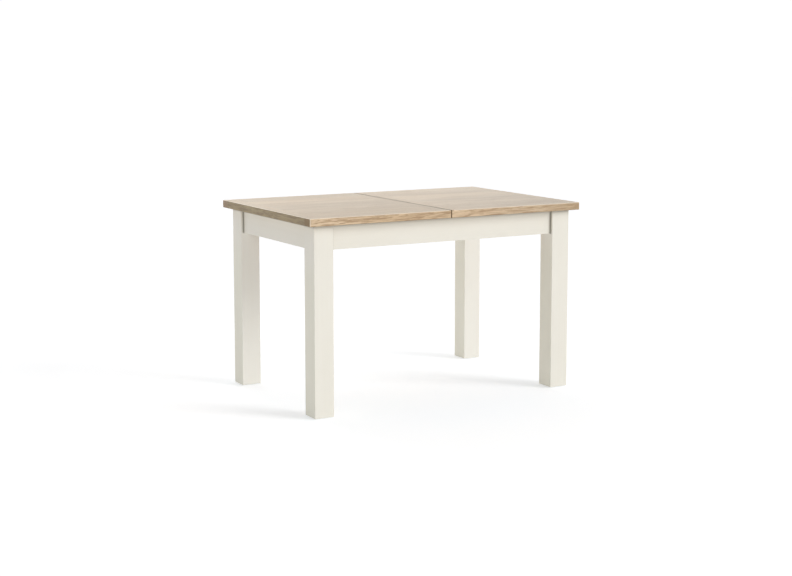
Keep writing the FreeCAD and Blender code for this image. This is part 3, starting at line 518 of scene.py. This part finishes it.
def finish_for(name, slot):
    """The material that a node gets, from its slot and the way its grain runs."""
    if slot == "ivory_paint":
        if name.startswith("leg"):
            return IVORY["Z"]
        return IVORY["X" if name in ("apron_front", "apron_back") else "Y"]
    if slot == "oak_field":
        return wood(name, OAK, "X", TOP_STAVES, ring=0.0066, figure=0.75, pores=0.8,
                    fade=half_fade(name), highlight_strength=0.85)
    if slot == "oak_long_rail":
        ends = FRONT_END if name.endswith("front") else BACK_END
        return wood(name, OAK, "X", WIDE_RAIL, ring=0.0060, figure=0.9, pores=1.2, edge=LONG_EDGE,
                    end_tint=ends, fade=half_fade(name, painted_sheen=0.0), highlight_strength=0.95)
    if slot == "oak_cross_rail":
        sawn = SPLIT_EDGE if name.endswith("split") else SHORT_EDGE
        return wood(name, OAK, "Y", WIDE_RAIL, ring=0.0060, figure=0.8, pores=1.0, edge=sawn,
                    fade=half_fade(name), highlight_strength=0.95)
    if slot == "oak_leaf":
        return wood(name, OAK, "X", TOP_STAVES, ring=0.0066, figure=0.75, pores=0.8, highlight_strength=0.85)
    if slot == "beech":
        return wood(name, BEECH, "X", WIDE_BOARD, ring=0.0030, figure=0.35, pores=0.35,
                    roughness=0.5, coat=0.0)
    if slot == "softwood":
        grain = "Y" if name.startswith("cross_rail") else "X"
        return wood(name, PINE, grain, WIDE_BOARD, ring=0.0034, figure=0.8, pores=0.1,
                    roughness=0.62, coat=0.0)
    return {"nylon": NYLON, "felt": FELT, "glide_plastic": GLIDE, "brass": BRASS, "zinc_steel": ZINC}[slot]


for node_name, slot_name in SLOTS.items():
    thing = NODES[node_name]
    chosen = finish_for(node_name, slot_name)
    if not thing.data.materials:
        thing.data.materials.append(chosen)
    for material_slot in thing.material_slots:
        material_slot.material = chosen


# ---- Studio ------------------------------------------------------------------------------------------

FLOOR_RADIUS = 40.0
FLOOR_CORNERS = 96
FLOOR_TONES = (rgb(0.925, 0.93, 0.94), rgb(0.945, 0.95, 0.96))

# The floor's own faint glow: bluer near the table's middle, and stronger a little outside the table.
GLOW_BLUE = rgb(0.84, 0.92, 1.0)
GLOW_WHITE = rgb(1.0, 1.0, 1.0)
BLUE_WITHIN = (0.45, 1.0)
GLOW_GROWS = (0.9, 1.6)
GLOW_STRENGTHS = (0.300, 0.335)

SURROUND_LEVEL = 0.51
SEEN_BACKDROP = rgb(1.02, 1.02, 1.02)


def add_floor():
    """A wide pale disc under the table."""
    bpy.ops.mesh.primitive_circle_add(vertices=FLOOR_CORNERS, radius=FLOOR_RADIUS, fill_type="NGON",
                                      location=(0, 0, 0))
    floor = bpy.context.object
    floor.name = "studio_floor"

    def floor_shader(net):
        cloud = net.noise(net.place(), scale=3.0, detail=3.0)
        away = net.add("ShaderNodeVectorMath", {0: net.place()}, operation="LENGTH").outputs["Value"]
        return {"Base Color": net.mix(cloud, *FLOOR_TONES),
                "Roughness": net.scaled(cloud, 0.1, 0.75),
                "Emission Color": net.mix(net.smooth(away, *BLUE_WITHIN), GLOW_BLUE, GLOW_WHITE),
                "Emission Strength": net.smooth(away, *GLOW_GROWS, *GLOW_STRENGTHS)}

    floor.data.materials.append(material("studio_floor", floor_shader, **{"Specular IOR Level": 0.1}))


def place_light(lamp, position, mirrored=True):
    """A light at that position, facing the middle of the top. A sun's position is only its direction."""
    aim = Vector() if lamp.type == "SUN" else Vector((0.0, 0.0, cad_high[2]))
    holder = bpy.data.objects.new(lamp.name, lamp)
    holder.location = position
    holder.rotation_euler = (position - aim).to_track_quat("Z", "Y").to_euler()
    holder.visible_camera = False
    holder.visible_glossy = mirrored
    bpy.context.scene.collection.objects.link(holder)


def add_lights():
    """A soft sun from the front right, and two weak lights from behind."""
    key = bpy.data.lights.new("key_light", "SUN")
    key.energy = 1.26
    key.angle = math.radians(26.0)
    place_light(key, Vector((0.62, -0.66, 0.44)), mirrored=False)
    rim = bpy.data.lights.new("rim_light", "AREA")
    rim.energy = 6.5
    rim.shape = "DISK"
    rim.size = 1.2
    place_light(rim, Vector((-0.5, 1.2, 1.7)))
    panel = bpy.data.lights.new("panel_light", "AREA")
    panel.energy = 2.2
    panel.shape = "RECTANGLE"
    panel.size = 2.4
    panel.size_y = 0.4
    place_light(panel, Vector((0.75, 1.3, 1.0)))


def add_surround():
    """A bright surround, brighter behind the table and at its right, which the camera sees as white."""
    world = bpy.data.worlds.new("studio_surround")
    bpy.context.scene.world = world
    world.use_nodes = True
    net = Net(world.node_tree)
    view = net.add("ShaderNodeTexCoord").outputs["Generated"]

    def glow(direction, strength, power):
        """A soft bright patch of the surround, centred on that direction."""
        towards = {0: view, 1: Vector(direction).normalized()}
        made = net.add("ShaderNodeVectorMath", towards, operation="DOT_PRODUCT")
        facing = net.math("MAXIMUM", made.outputs["Value"], 0.0)
        return net.times(net.math("POWER", facing, power), strength)

    behind = glow((0.5, 0.87, 0.1), strength=0.18, power=4.0)
    beside = glow((1.0, -0.3, 0.3), strength=0.34, power=3.0)
    level = net.plus(net.plus(behind, beside), SURROUND_LEVEL)
    camera_ray = net.add("ShaderNodeLightPath").outputs["Is Camera Ray"]
    shown = net.mix(camera_ray, net.grey(level), SEEN_BACKDROP)
    background = net.add("ShaderNodeBackground", {"Color": shown, "Strength": 1.0})
    output = net.add("ShaderNodeOutputWorld")
    world.node_tree.links.new(background.outputs[0], output.inputs["Surface"])


def add_camera():
    """The photograph's point of view, looking a little down, with its picture shifted a little too."""
    lens = bpy.data.cameras.new("camera")
    lens.sensor_width = 36.0
    lens.lens = 68.336
    lens.shift_y = -0.0758
    lens.clip_end = 200.0
    holder = bpy.data.objects.new("camera", lens)
    pitch_down = math.radians(6.850)
    yaw_right = math.radians(29.755)
    holder.location = (-2.9990, -5.2149, 1.3635)
    holder.rotation_euler = (math.pi / 2 - pitch_down, 0.0, -yaw_right)
    bpy.context.scene.collection.objects.link(holder)
    bpy.context.scene.camera = holder


bpy.context.scene.view_settings.view_transform = "Standard"
bpy.context.scene.view_settings.look = "None"
add_floor()
add_lights()
add_surround()
add_camera()
